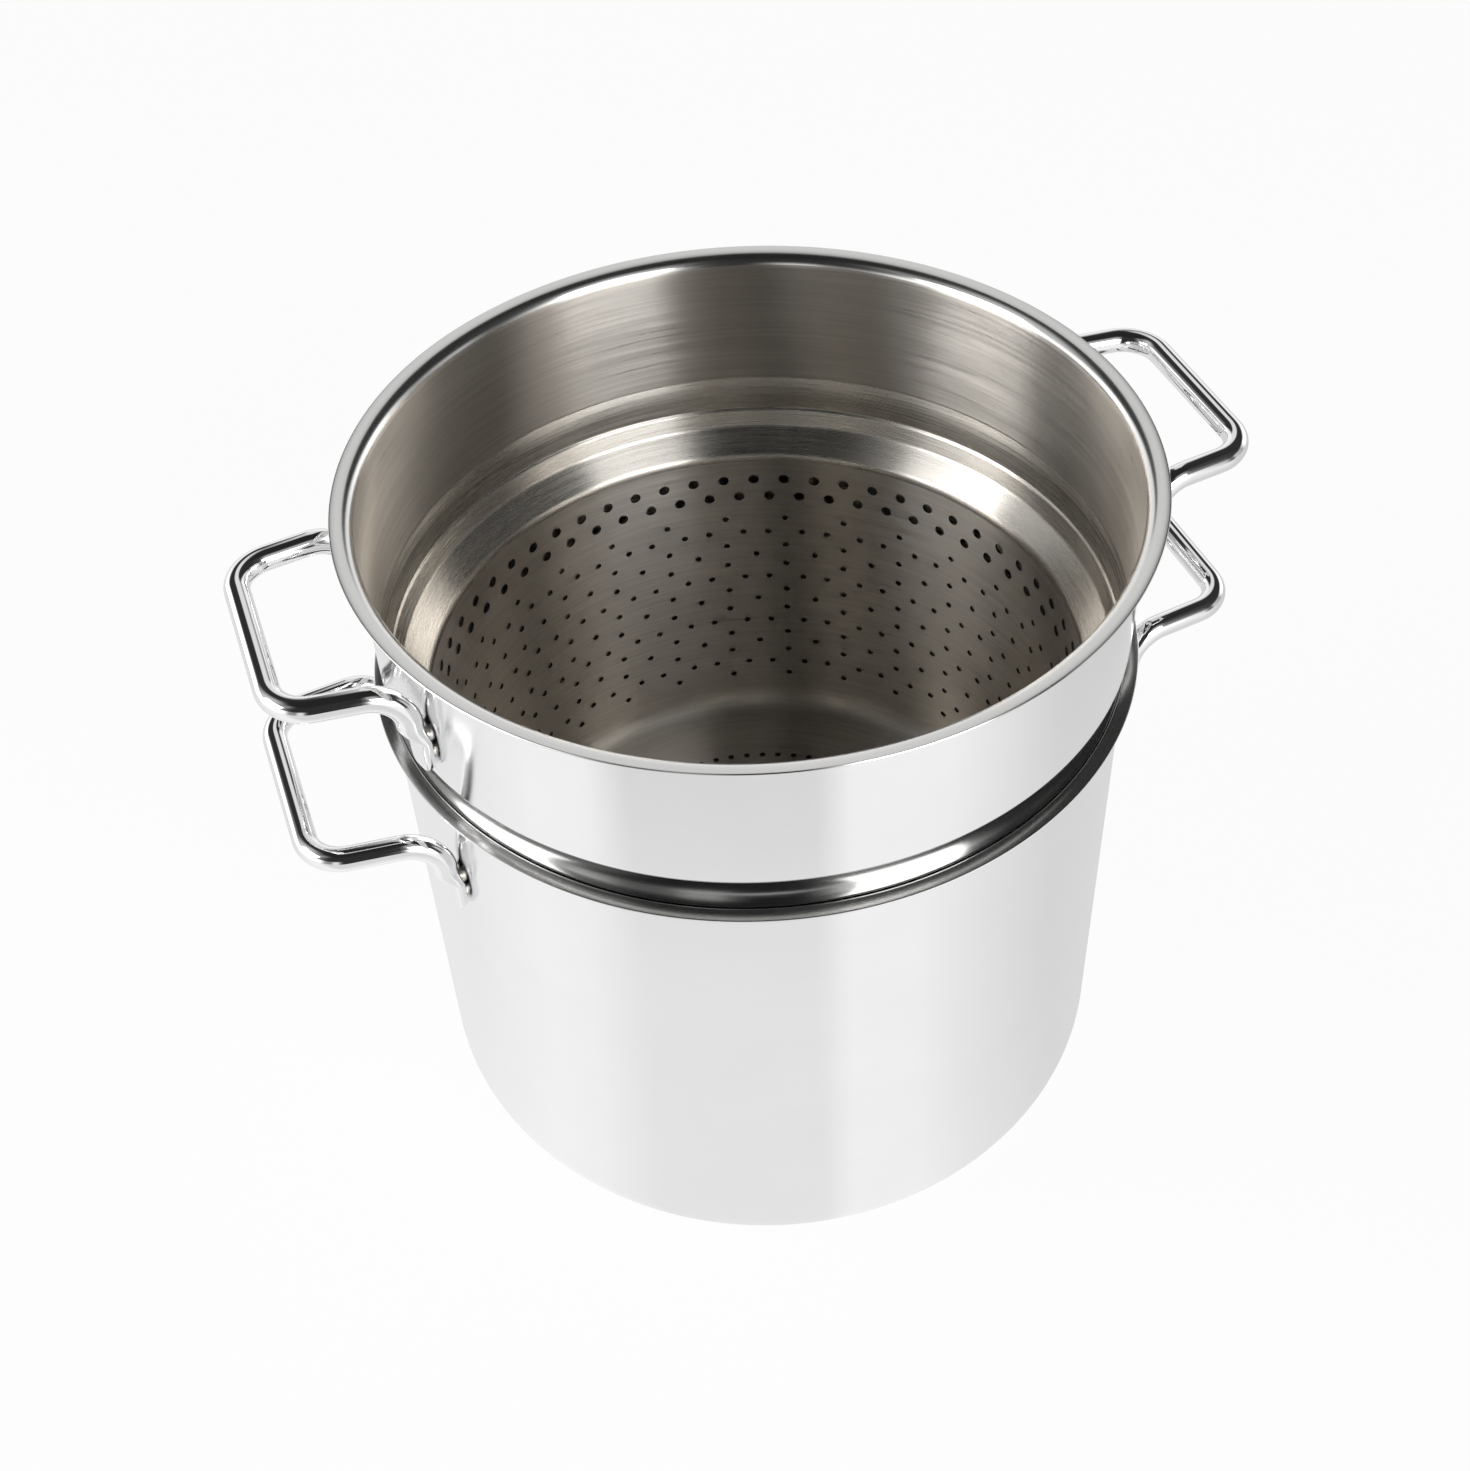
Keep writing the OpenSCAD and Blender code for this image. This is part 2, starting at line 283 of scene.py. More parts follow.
def put_sheet(shell, punched, place_back, place_front):
    """Puts a punched outline on the back and the front of the sheet, and joins them in the holes."""
    flat, tris, loops = punched
    back = [shell.point(*place_back(v.x, v.y)) for v in flat]
    front = [shell.point(*place_front(v.x, v.y)) for v in flat]
    for tri in tris:
        shell.face([back[i] for i in reversed(tri)])
        shell.face([front[i] for i in tri])
    for points in loops:
        low = [shell.point(*place_back(*p)) for p in points]
        high = [shell.point(*place_front(*p)) for p in points]
        for i in range(len(points)):
            j = (i + 1) % len(points)
            shell.face([high[i], high[j], low[j], low[i]])


def wall_holes():
    """Holes of one panel: how far round in columns, height and radius."""
    top = POT_RIM_Z - TOP_ROW_DROP
    big = BIG_HOLE_D / 2
    small = SMALL_HOLE_D / 2
    holes = [(1.0, top, big), (0.5, top, big), (0.25, top - BIG_ROW_STEP, big),
             (0.75, top - BIG_ROW_STEP, big)]
    first = top - BIG_ROW_STEP - 10.7
    for k in range(SMALL_ROW_REPEATS):
        z = first - k * SMALL_ROW_PITCH
        holes += [(1.0, z, small), (1.0, z - 13.2, small), (0.29, z - 6.6, small), (0.71, z - 6.6, small)]
        if k < SMALL_ROW_REPEATS - 1:
            holes.append((0.5, z - 17.9, small))
    return holes


def strainer_shell():
    """The whole insert: collar, shoulder, perforated wall and perforated floor."""
    corners = [
        (0, BASKET_FLOOR_Z),
        (BASKET_R, BASKET_FLOOR_Z),
        (BASKET_R, SEAT_Z - GUIDE_H - LEDGE_H),
        (SEAT_R - GUIDE_IN, SEAT_Z - GUIDE_H),
        (SEAT_R, SEAT_Z),
        (SEAT_R + SEAT_STEP, SEAT_Z + SEAT_STEP),
        (SEAT_R + SEAT_STEP, COVE_Z),
        (COLLAR_R, CREASE_Z),
        (COLLAR_R, INSERT_TOP_Z - COLLAR_FLARE_RISE),
        (COLLAR_R + COLLAR_FLARE, INSERT_TOP_Z),
    ]
    path = rounded_path(corners, [0, BASKET_CORNER_R, 4, 3, 1.2, 0.5, 24, 1, COLLAR_FLARE_R, 0], 4)
    path[-1] -= unit(path[-1] - path[-2]) * INSERT_SHEET / 2
    outer = offset_path(path, INSERT_SHEET)
    floor_edge = 1
    wall_low = max(i for i, p in enumerate(path) if p.y < BASKET_FLOOR_Z + BASKET_CORNER_R + 2 * BEND_SIDE)
    wall_high = wall_low + 1
    # The perforated sheets start exactly square to the floor and the wall
    outer[floor_edge] = Vector((path[floor_edge].x, BASKET_FLOOR_Z - INSERT_SHEET))
    for i in (wall_low, wall_high):
        outer[i] = Vector((BASKET_R + INSERT_SHEET, path[i].y))
    shell = Shell()
    shell.turn((path[floor_edge:wall_low + 1])[::-1])
    shell.turn(outer[floor_edge:wall_low + 1])
    top = list(path[wall_high:]) + rolled_edge(path[-1], outer[-1]) + outer[:wall_high - 1:-1]
    shell.turn(top[::-1])

    z_low = path[wall_low].y
    z_high = path[wall_high].y
    column = 2 * math.pi / HOLE_COLUMNS
    width = BASKET_R * column
    rows = 34
    sub = width / STEPS_PER_COLUMN
    levels = [z_low + (z_high - z_low) * i / rows for i in range(rows + 1)]
    outline = [(i * sub, z_low) for i in range(STEPS_PER_COLUMN)]
    outline += [(width, z) for z in levels[:-1]]
    outline += [(width - i * sub, z_high) for i in range(STEPS_PER_COLUMN)]
    outline += [(0, z) for z in levels[:0:-1]]
    grid = [(i * sub, z) for i in range(1, STEPS_PER_COLUMN) for z in levels[1:-1]]
    holes = [((u - PANEL_CUT) * width, z, r) for u, z, r in wall_holes()]
    panel_sheet = punched_outline(outline, holes, grid)

    for panel in range(HOLE_COLUMNS):
        start = START_ANGLE + panel * column

        def on_radius(radius):
            def place(x, z):
                a = start + x / BASKET_R
                return radius * math.cos(a), radius * math.sin(a), z
            return place

        put_sheet(shell, panel_sheet, on_radius(BASKET_R), on_radius(BASKET_R + INSERT_SHEET))

    floor_r = path[floor_edge].x
    outline = [(floor_r * math.cos(START_ANGLE + 2 * math.pi * i / AROUND),
                floor_r * math.sin(START_ANGLE + 2 * math.pi * i / AROUND)) for i in range(AROUND)]
    holes = []
    ring_r = FLOOR_RING_R
    while ring_r >= FLOOR_RING_STEP / 2:
        count = math.floor(2 * math.pi * ring_r / FLOOR_HOLE_STEP)
        for i in range(count):
            a = 2 * math.pi * i / count
            holes.append((ring_r * math.cos(a), ring_r * math.sin(a), SMALL_HOLE_D / 2))
        ring_r -= FLOOR_RING_STEP
    grid = []
    for ring in range(1, 24):
        r = floor_r * ring / 24
        grid += ring_points(0, 0, r, max(8, round(2 * math.pi * r / 4.5)))
    grid.append((0, 0))
    put_sheet(shell, punched_outline(outline, holes, grid),
              lambda x, y: (x, y, BASKET_FLOOR_Z - INSERT_SHEET),
              lambda x, y: (x, y, BASKET_FLOOR_Z))
    return new_object("strainer_shell", shell.verts, shell.faces, 40)


# Bent-rod handles

def foot_centre(wall_r, reach):
    """Where the rod comes down beside the wall, seen from above."""
    k = math.tan(SPLAY)
    b = HALF_W + k * reach
    q = 1 + k * k
    r = wall_r + WELD_GAP + ROD_D / 2
    x = (k * b + math.sqrt(k * k * b * b - q * (b * b - r * r))) / q
    return x, HALF_W + k * (reach - x)


def polar(angle):
    return Vector((math.cos(angle), math.sin(angle), 0))


def mix_value(a, b, t):
    return a + (b - a) * t


def smooth_step(x):
    t = min(1.0, max(0.0, x))
    return t * t * (3 - 2 * t)


def ring(centre, u, v, half_w, half_t, power):
    """Points round the centre, wide along u and thick along v. Power 2 is round."""
    points = []
    for k in range(ROD_SIDES):
        a = 2 * math.pi * k / ROD_SIDES
        c = math.copysign(abs(math.cos(a)) ** (2 / power), math.cos(a))
        s = math.copysign(abs(math.sin(a)) ** (2 / power), math.sin(a))
        points.append(centre + u * half_w * c + v * half_t * s)
    return points


def half_rings(wall_r, reach):
    """Rings from one foot's tip to the middle of the outer bar, with the loop at height 0."""
    fx, fy = foot_centre(wall_r, reach)
    facing_foot = math.atan2(fy, fx)
    foot = Vector((fx, fy, 0))
    leg = polar(-SPLAY)
    across_leg = polar(math.pi / 2 - SPLAY)
    up = Vector((0, 0, 1))
    rod = ROD_D / 2
    plate_top = -FOOT_BEND_R - FOOT_FORGE_H
    forge_low = plate_top - 1.5
    tip = FOOT_W / 2
    heights = [share * tip - FOOT_DROP for share in TIP_SHARES]
    heights += [mix_value(tip - FOOT_DROP, forge_low, t) for t in (0.33, 0.67)]
    heights += [mix_value(forge_low, -FOOT_BEND_R - 0.4, i / 14) for i in range(15)]
    rings = []
    for z in heights:
        t = smooth_step((z - forge_low) / (FOOT_FORGE_H + 1))
        low = min(1.0, (z + FOOT_DROP) / tip)
        half_w = mix_value(FOOT_W, ROD_D, t) / 2 * math.sqrt(1 - (1 - low) ** 2)
        half_t = mix_value(FOOT_T, ROD_D, t) / 2
        half_t *= mix_value(0.55, 1, math.sqrt(min(1.0, (z + FOOT_DROP) / 1.6)))
        facing = mix_value(facing_foot, -SPLAY, t)
        centre = polar(facing_foot) * (wall_r + WELD_GAP + half_t) + up * z
        rings.append(ring(centre, polar(facing + math.pi / 2), polar(facing + math.pi),
                          half_w, half_t, mix_value(4, 2, t)))
    for i in range(17):
        b = math.pi / 2 * i / 16
        arm = up * math.sin(b) - leg * math.cos(b)
        centre = foot - up * FOOT_BEND_R + (leg + arm) * FOOT_BEND_R
        rings.append(ring(centre, across_leg, arm, rod, rod, 2))
    turn = math.pi / 2 - SPLAY
    cut = CORNER_BEND_R * math.tan(turn / 2)
    hub = Vector((reach - CORNER_BEND_R, HALF_W - cut, 0))
    for i in range(17):
        b = turn * (1 - i / 16)
        rings.append(ring(hub + polar(b) * CORNER_BEND_R, polar(b), up, rod, rod, 2))
    rings.append(ring(Vector((reach, 0, 0)), polar(0), up, rod, rod, 2))
    return rings


def handle(name, wall_r, reach, z, side):
    """One bent rod with both its feet. side is 1 for the right handle and -1 for the left."""
    near = half_rings(wall_r, reach)
    far = [[Vector((q.x, -q.y, q.z)) for q in points] for points in near[-2::-1]]
    rings = near + far
    verts = [Vector((q.x * side, q.y, q.z + z)) * MM for points in rings for q in points]
    faces = []
    for i in range(len(rings) - 1):
        for k in range(ROD_SIDES):
            a = i * ROD_SIDES + k
            b = i * ROD_SIDES + (k + 1) % ROD_SIDES
            faces.append([a, b, b + ROD_SIDES, a + ROD_SIDES])
    faces.append(list(range(ROD_SIDES))[::-1])
    faces.append([(len(rings) - 1) * ROD_SIDES + k for k in range(ROD_SIDES)])
    if side < 0:
        faces = [f[::-1] for f in faces]
    return new_object(name, verts, faces, 60)


# Materials

def node(tree, kind, at=(0, 0), **settings):
    n = tree.nodes.new(kind)
    n.location = at
    for key, value in settings.items():
        setattr(n, key, value)
    return n


def steel(name, colour, roughness, anisotropy, line_scale, line_depth, colour_spread, smudge):
    """Steel that was brushed or polished round the axis: fine lines, uneven sheen and faint marks."""
    m = bpy.data.materials.new(name)
    m.use_nodes = True
    t = m.node_tree
    bsdf = t.nodes["Principled BSDF"]
    bsdf.inputs["Metallic"].default_value = 1.0
    bsdf.inputs["Anisotropic"].default_value = anisotropy
    bsdf.inputs["Anisotropic Rotation"].default_value = 0.25
    coords = node(t, "ShaderNodeTexCoord", (-1400, 0))
    split = node(t, "ShaderNodeSeparateXYZ", (-1200, 0))
    t.links.new(coords.outputs["Object"], split.inputs[0])
    flat = node(t, "ShaderNodeCombineXYZ", (-1050, 150))
    t.links.new(split.outputs["X"], flat.inputs["X"])
    t.links.new(split.outputs["Y"], flat.inputs["Y"])
    away = node(t, "ShaderNodeVectorMath", (-900, 150), operation="LENGTH")
    t.links.new(flat.outputs[0], away.inputs[0])
    # Distance along the profile, which stays the same along a brushed line
    along = node(t, "ShaderNodeMath", (-750, 100), operation="MULTIPLY_ADD")
    along.inputs[1].default_value = 0.83
    t.links.new(away.outputs["Value"], along.inputs[0])
    t.links.new(split.outputs["Z"], along.inputs[2])
    fine = node(t, "ShaderNodeMath", (-600, 100), operation="MULTIPLY")
    fine.inputs[1].default_value = line_scale
    t.links.new(along.outputs[0], fine.inputs[0])
    slow = node(t, "ShaderNodeVectorMath", (-750, -50), operation="SCALE")
    slow.inputs["Scale"].default_value = 22.0
    t.links.new(flat.outputs[0], slow.inputs[0])
    parts = node(t, "ShaderNodeSeparateXYZ", (-600, -50))
    t.links.new(slow.outputs[0], parts.inputs[0])
    lines_at = node(t, "ShaderNodeCombineXYZ", (-450, 50))
    t.links.new(parts.outputs["X"], lines_at.inputs["X"])
    t.links.new(parts.outputs["Y"], lines_at.inputs["Y"])
    t.links.new(fine.outputs[0], lines_at.inputs["Z"])
    lines = node(t, "ShaderNodeTexNoise", (-300, 50))
    lines.inputs["Scale"].default_value = 1.0
    lines.inputs["Detail"].default_value = 4.0
    lines.inputs["Roughness"].default_value = 0.6
    t.links.new(lines_at.outputs[0], lines.inputs["Vector"])
    clouds = node(t, "ShaderNodeTexNoise", (-300, -250))
    clouds.inputs["Scale"].default_value = 34.0
    clouds.inputs["Detail"].default_value = 5.0
    t.links.new(coords.outputs["Object"], clouds.inputs["Vector"])
    both = node(t, "ShaderNodeMix", (-100, -100), data_type="FLOAT")
    both.inputs["Factor"].default_value = smudge
    t.links.new(lines.outputs["Fac"], both.inputs["A"])
    t.links.new(clouds.outputs["Fac"], both.inputs["B"])
    rough = node(t, "ShaderNodeMapRange", (60, -60))
    rough.inputs["From Min"].default_value = 0.25
    rough.inputs["From Max"].default_value = 0.75
    rough.inputs["To Min"].default_value = roughness * 0.82
    rough.inputs["To Max"].default_value = roughness * 1.22
    t.links.new(both.outputs["Result"], rough.inputs["Value"])
    t.links.new(rough.outputs["Result"], bsdf.inputs["Roughness"])
    ramp = node(t, "ShaderNodeValToRGB", (60, 250))
    ramp.color_ramp.elements[0].position = 0.3
    ramp.color_ramp.elements[1].position = 0.7
    dark = [c * (1 - colour_spread) for c in colour]
    ramp.color_ramp.elements[0].color = (*dark, 1)
    ramp.color_ramp.elements[1].color = (*colour, 1)
    t.links.new(both.outputs["Result"], ramp.inputs["Fac"])
    t.links.new(ramp.outputs["Color"], bsdf.inputs["Base Color"])
    if line_depth > 0:
        bump = node(t, "ShaderNodeBump", (250, -250))
        bump.inputs["Strength"].default_value = 0.35
        bump.inputs["Distance"].default_value = line_depth
        t.links.new(lines.outputs["Fac"], bump.inputs["Height"])
        t.links.new(bump.outputs["Normal"], bsdf.inputs["Normal"])
    if anisotropy > 0:
        tangent = node(t, "ShaderNodeTangent", (250, -450), direction_type="RADIAL", axis="Z")
        t.links.new(tangent.outputs[0], bsdf.inputs["Tangent"])
    return m


polish = steel("polished_steel", (0.90, 0.90, 0.905), 0.12, 0.8, 900.0, 0.0, 0.03, 0.6)
rod_polish = steel("polished_rod", (0.90, 0.90, 0.905), 0.06, 0.0, 700.0, 0.0, 0.03, 0.8)
satin = steel("satin_steel", (0.84, 0.80, 0.745), 0.31, 1.0, 1100.0, 0.00003, 0.2, 0.25)
rim_satin = steel("satin_rim", (0.78, 0.775, 0.76), 0.18, 0.7, 1500.0, 0.00001, 0.08, 0.3)
# Painted shade: darker than the rest of the polish, because the band under the collar shows dark in the
# photograph, where it mirrors the dark flange
cove_painted_shade = steel("polished_cove_painted_shade", (0.43, 0.43, 0.43), 0.06, 0.0, 900.0, 0.0, 0.1, 0.6)
ledge_satin = steel("satin_ledge", (0.84, 0.80, 0.745), 0.27, 0.9, 1100.0, 0.00002, 0.2, 0.25)
# Rough like a punched edge; its dark colour is painted shade, so that the holes show black
punched_edge_painted_shade = steel("punched_edge_painted_shade", (0.20, 0.19, 0.18), 0.45, 0.0, 900.0, 0.0, 0.3, 0.6)
core_metal = steel("core_aluminium", (0.78, 0.79, 0.8), 0.35, 0.3, 600.0, 0.00001, 0.06, 0.4)


def paint(obj, *materials):
    obj.data.materials.clear()
    for m in materials:
        obj.data.materials.append(m)


def paint_faces(obj, choose):
    """Gives each face the material whose number choose(centre, normal) returns, in millimetres."""
    for f in obj.data.polygons:
        f.material_index = choose(f.center / MM, f.normal)


# Pieces

pot_path = rounded_path(
    [(0, POT_FLOOR_Z), (POT_INNER_R, POT_FLOOR_Z), (POT_INNER_R, LIP_TOP_Z),
     (POT_R + POT_RIM_WIDTH, POT_RIM_Z)],
    [0, POT_CORNER_R, POT_LIP_R, 0], 5)
pot_shell = turned_piece("pot_shell", pot_path, POT_SHEET)
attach(pot_shell, "pot")
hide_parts("pot_body")
paint(pot_shell, polish, satin, rim_satin)


def pot_face(c, n):
    r = math.hypot(c.x, c.y)
    if c.z > POT_RIM_Z - 0.3 and r > POT_INNER_R + 0.3 and n.z > 0.2:
        return 2
    outward = (n.x * c.x + n.y * c.y) / max(r, 1e-6)
    inside = r < POT_INNER_R + 0.3 and c.z > POT_FLOOR_Z - 0.3 and (outward < -0.1 or n.z > 0.3)
    return 1 if inside else 0


paint_faces(pot_shell, pot_face)

insert = strainer_shell()
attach(insert, "insert")
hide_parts("insert_body")
paint(insert, polish, satin, rim_satin, cove_painted_shade, ledge_satin, punched_edge_painted_shade)


def insert_face(c, n):
    r = math.hypot(c.x, c.y)
    outward = (n.x * c.x + n.y * c.y) / max(r, 1e-6)
    if c.z > INSERT_TOP_Z - COLLAR_FLARE_R - 0.2 and r > COLLAR_R + 0.2:
        return 2
    if c.z > SEAT_Z - 6 and outward > 0.3:
        # The outer band under the collar takes the darker polish, which is painted shade
        return 3 if c.z < CREASE_Z + 0.2 else 0
    in_wall = abs(r - BASKET_R - INSERT_SHEET / 2) < INSERT_SHEET / 4 and abs(outward) < 0.5
    in_floor = abs(c.z - BASKET_FLOOR_Z + INSERT_SHEET / 2) < INSERT_SHEET / 4 and abs(n.z) < 0.5
    # The walls of the holes take the dark punched edge, which is painted shade
    if in_wall or in_floor and r < FLOOR_RING_R + SMALL_HOLE_D:
        return 5
    return 4 if SEAT_Z - GUIDE_H - LEDGE_H - 3 < c.z < CREASE_Z + 1.5 else 1


paint_faces(insert, insert_face)

handles = [
    ("pot_loop_right", "pot_handle_right", "pot", POT_R, POT_REACH, POT_RIM_Z - POT_HANDLE_DROP, 1),
    ("pot_loop_left", "pot_handle_left", "pot", POT_R, POT_REACH, POT_RIM_Z - POT_HANDLE_DROP, -1),
    ("insert_loop_right", "insert_handle_right", "insert", COLLAR_OUT_R, INSERT_REACH,
     POT_RIM_Z + INSERT_HANDLE_RISE, 1),
    ("insert_loop_left", "insert_handle_left", "insert", COLLAR_OUT_R, INSERT_REACH,
     POT_RIM_Z + INSERT_HANDLE_RISE, -1),
]
for name, cad_node, body, wall_r, reach, z, side in handles:
    loop = handle(name, wall_r, reach, z, side)
    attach(loop, body)
    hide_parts(cad_node)
    paint(loop, rod_polish)

# Capsule that closes the core in: a shallow cup with a rounded lower edge
cup_r = CORE_R + CAP_SHEET
cap_path = rounded_path([(0, CAP_SHEET), (CORE_R, CAP_SHEET), (CORE_R, BASE_H)], [0, 0.4, 0], 15)
base_cup = turned_piece("base_cup", cap_path, CAP_SHEET)
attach(base_cup, "pot")
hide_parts("pot_base_cap")
paint(base_cup, polish)

paint(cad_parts["pot_base_core"], core_metal)
for weld in ("pot_handle_welds", "insert_handle_welds"):
    paint(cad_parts[weld], satin)

# Floor, world and lamps

def bearing_levels(tree, x, y, table, left):
    """Grey level by bearing round the part: table holds degrees in the part's frame and levels."""
    bearing = node(tree, "ShaderNodeMath", (left, 0), operation="ARCTAN2")
    tree.links.new(y, bearing.inputs[0])
    tree.links.new(x, bearing.inputs[1])
    turns = node(tree, "ShaderNodeMapRange", (left + 180, 0))
    turns.inputs["From Min"].default_value = -math.pi
    turns.inputs["From Max"].default_value = math.pi
    tree.links.new(bearing.outputs[0], turns.inputs["Value"])
    ramp = node(tree, "ShaderNodeValToRGB", (left + 360, 0))
    tree.links.new(turns.outputs["Result"], ramp.inputs["Fac"])
    elements = ramp.color_ramp.elements
    while len(elements) > 1:
        elements.remove(elements[-1])
    for i, (deg, level) in enumerate(table):
        pos = (deg + 180) / 360
        e = elements[0] if i == 0 else elements.new(pos)
        e.position = pos
        e.color = (level, level, level, 1)
    return ramp.outputs["Color"]


# The light that metal sees on the floor: two brighter pools, and less light on the far right.
# Bearings are taken round a point halfway between the axis and the wall on the camera's side.
FLOOR_NEAR = [
    (-180, 1.0), (-166, 0.98), (-148, 0.87), (-93, 0.87), (-83, 0.99), (-62, 0.98), (-45, 0.88),
    (-15, 0.75), (20, 0.75), (90, 0.85), (150, 0.9), (172, 0.98), (180, 1.0),
]
FLOOR_FAR = [
    (-180, 1.0), (-160, 1.0), (-148, 0.757), (-93, 0.757), (-83, 1.0), (-53, 1.0), (-42, 0.92),
    (-15, 0.72), (20, 0.66), (90, 0.76), (150, 0.84), (172, 0.94), (180, 0.97),
]
FLOOR_POLE = (-0.02, -0.057, 0.0)
FLOOR_FADE_FROM = 0.23
FLOOR_FADE_TO = 0.36
FLOOR_GLOW_SHARE = 0.95

bpy.ops.mesh.primitive_plane_add(size=8, location=(0, 0, 0))
floor = bpy.context.object
floor.name = "floor"
fm = bpy.data.materials.new("floor")
fm.use_nodes = True
ft = fm.node_tree
fb = ft.nodes["Principled BSDF"]
fb.inputs["Base Color"].default_value = (0.93, 0.93, 0.93, 1)
fb.inputs["Roughness"].default_value = 0.9
fb.inputs["Specular IOR Level"].default_value = 0.0
floor_at = node(ft, "ShaderNodeTexCoord", (-1600, -400))
from_pole = node(ft, "ShaderNodeVectorMath", (-1400, -400), operation="SUBTRACT")
from_pole.inputs[1].default_value = FLOOR_POLE
ft.links.new(floor_at.outputs["Object"], from_pole.inputs[0])
floor_xyz = node(ft, "ShaderNodeSeparateXYZ", (-1200, -400))
ft.links.new(from_pole.outputs[0], floor_xyz.inputs[0])
near = bearing_levels(ft, floor_xyz.outputs["X"], floor_xyz.outputs["Y"], FLOOR_NEAR, -1000)
far = bearing_levels(ft, floor_xyz.outputs["X"], floor_xyz.outputs["Y"], FLOOR_FAR, -1000)
floor_r = node(ft, "ShaderNodeVectorMath", (-1200, -600), operation="LENGTH")
ft.links.new(floor_at.outputs["Object"], floor_r.inputs[0])
fade = node(ft, "ShaderNodeMapRange", (-1000, -600), interpolation_type="SMOOTHSTEP")
fade.inputs["From Min"].default_value = FLOOR_FADE_FROM
fade.inputs["From Max"].default_value = FLOOR_FADE_TO
ft.links.new(floor_r.outputs["Value"], fade.inputs["Value"])
level = node(ft, "ShaderNodeMix", (-400, -500), data_type="RGBA")
ft.links.new(fade.outputs["Result"], level.inputs["Factor"])
ft.links.new(near, level.inputs["A"])
ft.links.new(far, level.inputs["B"])
floor_rays = node(ft, "ShaderNodeLightPath", (-600, 300))
# White for the camera, the pools of light for metal
glow_level = node(ft, "ShaderNodeMath", (-200, -400), operation="MAXIMUM")
ft.links.new(floor_rays.outputs["Is Camera Ray"], glow_level.inputs[0])
ft.links.new(level.outputs["Result"], glow_level.inputs[1])
glow = node(ft, "ShaderNodeEmission", (0, -300))
glow.inputs["Color"].default_value = (1, 1, 1, 1)
ft.links.new(glow_level.outputs[0], glow.inputs["Strength"])
clear_rays = node(ft, "ShaderNodeMath", (-400, 300), operation="MAXIMUM")
ft.links.new(floor_rays.outputs["Is Camera Ray"], clear_rays.inputs[0])
ft.links.new(floor_rays.outputs["Is Glossy Ray"], clear_rays.inputs[1])
share = node(ft, "ShaderNodeMath", (-200, 300), operation="MULTIPLY")
share.inputs[1].default_value = FLOOR_GLOW_SHARE
ft.links.new(clear_rays.outputs[0], share.inputs[0])
floor_mix = node(ft, "ShaderNodeMixShader", (300, 0))
ft.links.new(share.outputs[0], floor_mix.inputs["Fac"])
ft.links.new(fb.outputs[0], floor_mix.inputs[1])
ft.links.new(glow.outputs[0], floor_mix.inputs[2])
ft.links.new(floor_mix.outputs[0], ft.nodes["Material Output"].inputs["Surface"])
paint(floor, fm)

# Studio walls by bearing: bright boxes on the camera's left and right, dark between them, and a
# pale backdrop behind the part. High is what stands from about 20 degrees above the floor. There
# the back is dark, apart from one light strip that draws a thin line on the rods and the rims.
LOW_WALLS = [
    (-180, 1.3), (-172, 1.5), (-159, 1.5), (-153, 1.1), (-147, 0.4), (-141, 0.28), (-134, 0.3),
    (-129, 0.8), (-122, 0.8), (-117, 0.2), (-112, 0.03), (-99, 0.03), (-94, 0.35), (-88, 1.5),
    (-79, 1.5), (-54, 1.3), (-47, 0.5), (-39, 0.16), (-33, 0.16), (-25, 0.6), (-4, 0.4), (7, 1.2),
    (14, 2.2), (22, 1.6), (38, 1.0), (104, 1.0), (118, 1.3), (127, 2.2), (141, 1.8), (151, 1.5),
    (167, 1.6), (180, 1.3),
]
HIGH_WALLS = [
    (-180, 0.25), (-165, 0.3), (-155, 0.1), (-145, 0.03), (-98, 0.03), (-90, 0.15), (-84, 0.45),
    (-64, 0.5), (-52, 0.25), (-38, 0.06), (0, 0.03), (56, 0.03), (62, 0.8), (82, 0.8), (88, 0.03),
    (120, 0.03), (145, 0.6), (165, 0.45), (180, 0.25),
]
CEILING = 0.02
# Heights on the sky's unit sphere between which one gives way to the next
HIGH_WALLS_FROM = 0.28
HIGH_WALLS_TO = 0.45
CEILING_FROM = 0.78
CEILING_TO = 0.92

world = bpy.data.worlds.new("studio")
bpy.context.scene.world = world
world.use_nodes = True
wt = world.node_tree
back = wt.nodes["Background"]
sky = node(wt, "ShaderNodeTexCoord", (-1400, 0))
sky_xyz = node(wt, "ShaderNodeSeparateXYZ", (-1200, 0))
wt.links.new(sky.outputs["Generated"], sky_xyz.inputs[0])
low_walls = bearing_levels(wt, sky_xyz.outputs["X"], sky_xyz.outputs["Y"], LOW_WALLS, -1000)
high_walls = bearing_levels(wt, sky_xyz.outputs["X"], sky_xyz.outputs["Y"], HIGH_WALLS, -1000)


def over(lower, upper, start, end, at):
    """The lower colour up to the height start, and the upper one from the height end."""
    height = node(wt, "ShaderNodeMapRange", (at - 200, -300), interpolation_type="SMOOTHSTEP")
    height.inputs["From Min"].default_value = start
    height.inputs["From Max"].default_value = end
    wt.links.new(sky_xyz.outputs["Z"], height.inputs["Value"])
    both = node(wt, "ShaderNodeMix", (at, -100), data_type="RGBA")
    wt.links.new(height.outputs["Result"], both.inputs["Factor"])
    wt.links.new(lower, both.inputs["A"])
    if upper is None:
        both.inputs["B"].default_value = (CEILING, CEILING, CEILING, 1)
    else:
        wt.links.new(upper, both.inputs["B"])
    return both.outputs["Result"]


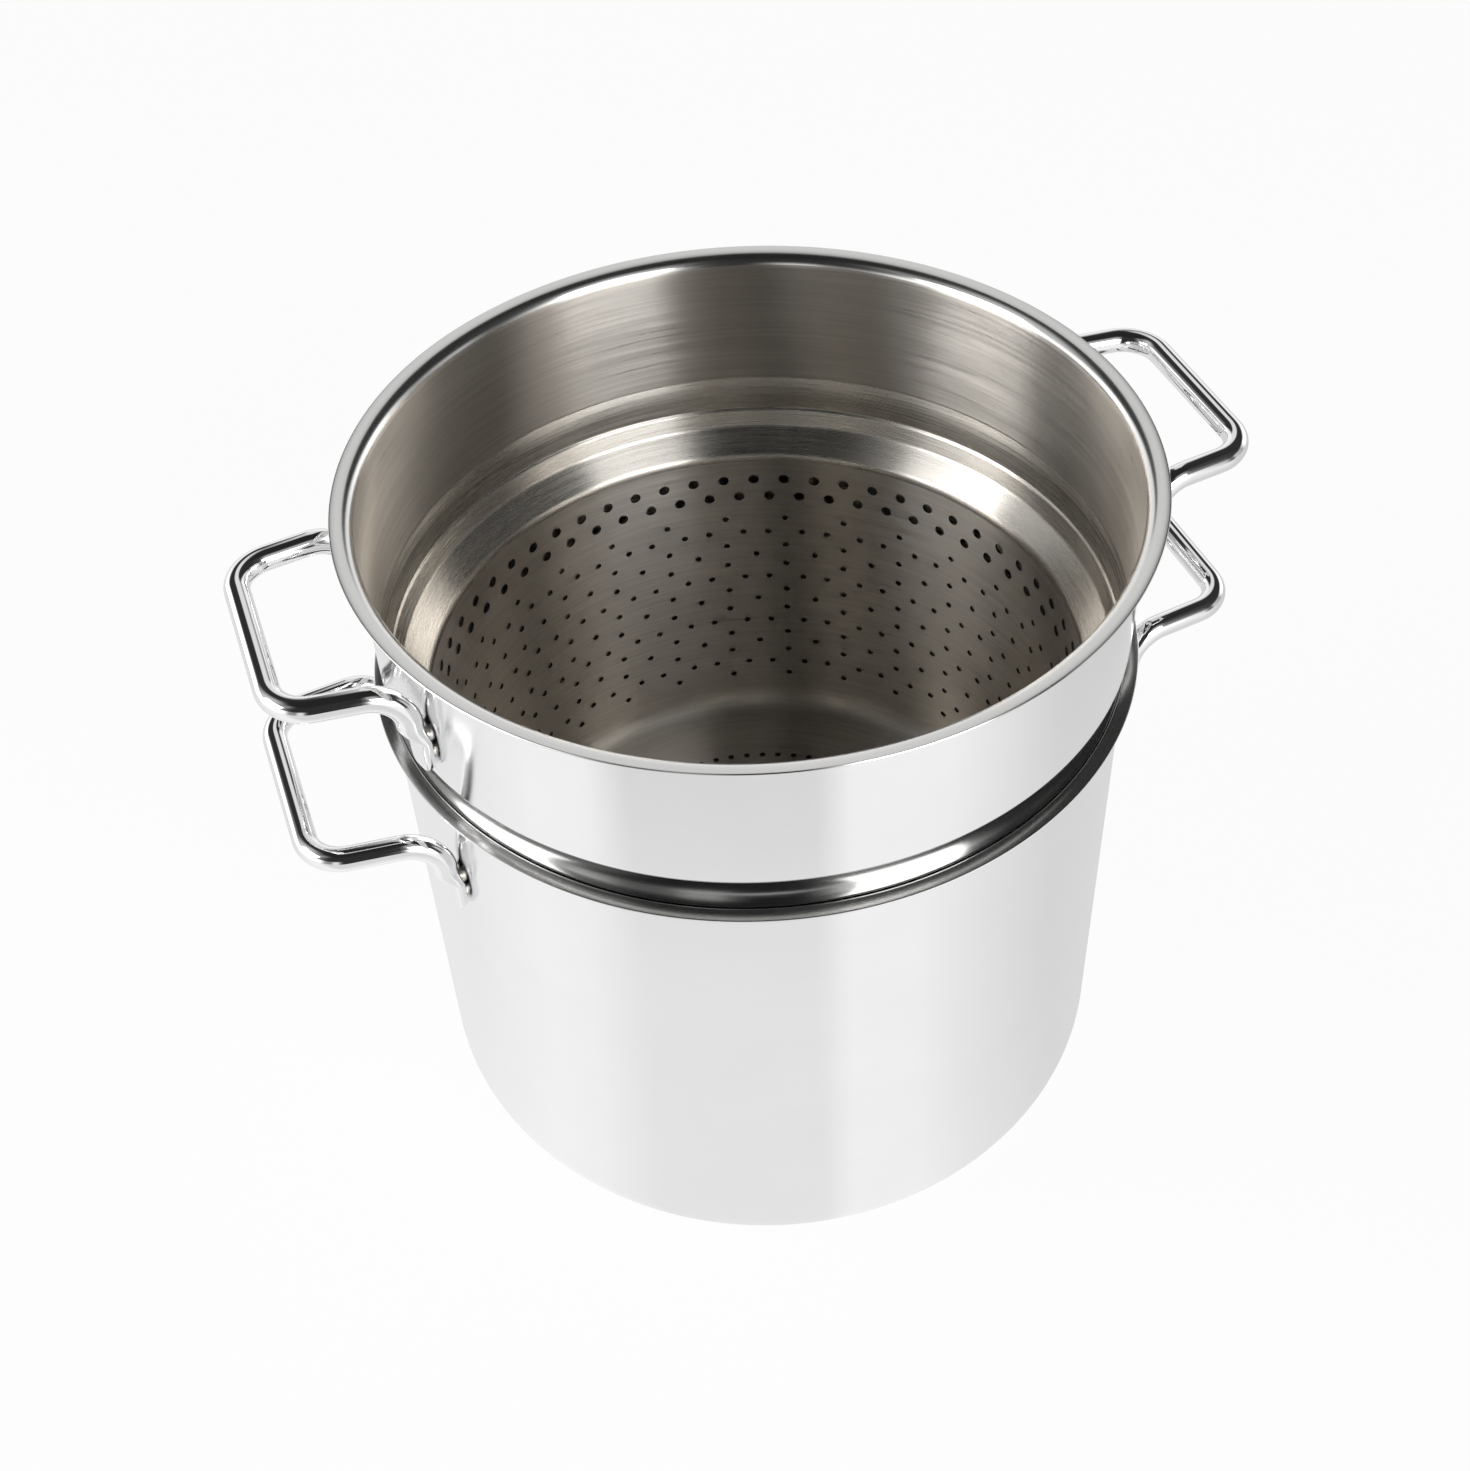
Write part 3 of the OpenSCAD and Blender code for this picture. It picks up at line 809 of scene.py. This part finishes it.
studio = over(low_walls, high_walls, HIGH_WALLS_FROM, HIGH_WALLS_TO, -400)
studio = over(studio, None, CEILING_FROM, CEILING_TO, -100)
wt.links.new(studio, back.inputs["Color"])
white = node(wt, "ShaderNodeBackground", (0, -200))
white.inputs["Color"].default_value = (1, 1, 1, 1)
seen = node(wt, "ShaderNodeLightPath", (0, 300))
choose_sky = node(wt, "ShaderNodeMixShader", (250, 0))
wt.links.new(seen.outputs["Is Camera Ray"], choose_sky.inputs["Fac"])
wt.links.new(back.outputs[0], choose_sky.inputs[1])
wt.links.new(white.outputs[0], choose_sky.inputs[2])
wt.links.new(choose_sky.outputs[0], wt.nodes["World Output"].inputs["Surface"])


def lamp(name, at, aim, size, size_y, watts):
    data = bpy.data.lights.new(name, "AREA")
    data.shape = "RECTANGLE"
    data.size = size
    data.size_y = size_y
    data.energy = watts
    obj = bpy.data.objects.new(name, data)
    bpy.context.scene.collection.objects.link(obj)
    obj.location = at
    obj.rotation_euler = (Vector(aim) - Vector(at)).to_track_quat("-Z", "Y").to_euler()
    obj.visible_camera = False
    return obj


def bearing_point(deg, distance, z):
    a = math.radians(deg)
    return distance * math.cos(a), distance * math.sin(a), z


lamp("left_box", bearing_point(176, 1.5, 0.7), (0, 0, 0.15), 0.9, 1.2, 14)
lamp("front_box", bearing_point(-71, 1.6, 0.8), (0, 0, 0.15), 0.9, 1.2, 14)

# Camera at the photograph's view
YAW = math.radians(-0.967)
PITCH = math.radians(45.376)
ROLL = math.radians(-3.187)
FOCAL_PX = 1997.4
PART_TURN = math.radians(-19)
forward = Vector((math.sin(YAW) * math.cos(PITCH), math.cos(YAW) * math.cos(PITCH), -math.sin(PITCH)))
right = Vector((math.cos(YAW), -math.sin(YAW), 0))
up = right.cross(forward)
right_rolled = math.cos(ROLL) * right + math.sin(ROLL) * up
up_rolled = -math.sin(ROLL) * right + math.cos(ROLL) * up
turn = Matrix.Rotation(PART_TURN, 3, "Z")
place = turn @ Vector((0, -487.68, 628.38)) + Vector((0, 0, BASE_H))
axes = Matrix((turn @ right_rolled, turn @ up_rolled, turn @ -forward)).transposed()
camera_data = bpy.data.cameras.new("camera")
camera = bpy.data.objects.new("camera", camera_data)
bpy.context.scene.collection.objects.link(camera)
camera.matrix_world = Matrix.Translation(place * MM) @ axes.to_4x4()
camera_data.sensor_fit = "HORIZONTAL"
camera_data.sensor_width = 36.0
camera_data.lens = FOCAL_PX / IMAGE_W * 36.0
camera_data.clip_start = 0.01
bpy.context.scene.camera = camera
bpy.context.scene.view_settings.view_transform = "Standard"

bpy.context.view_layer.update()
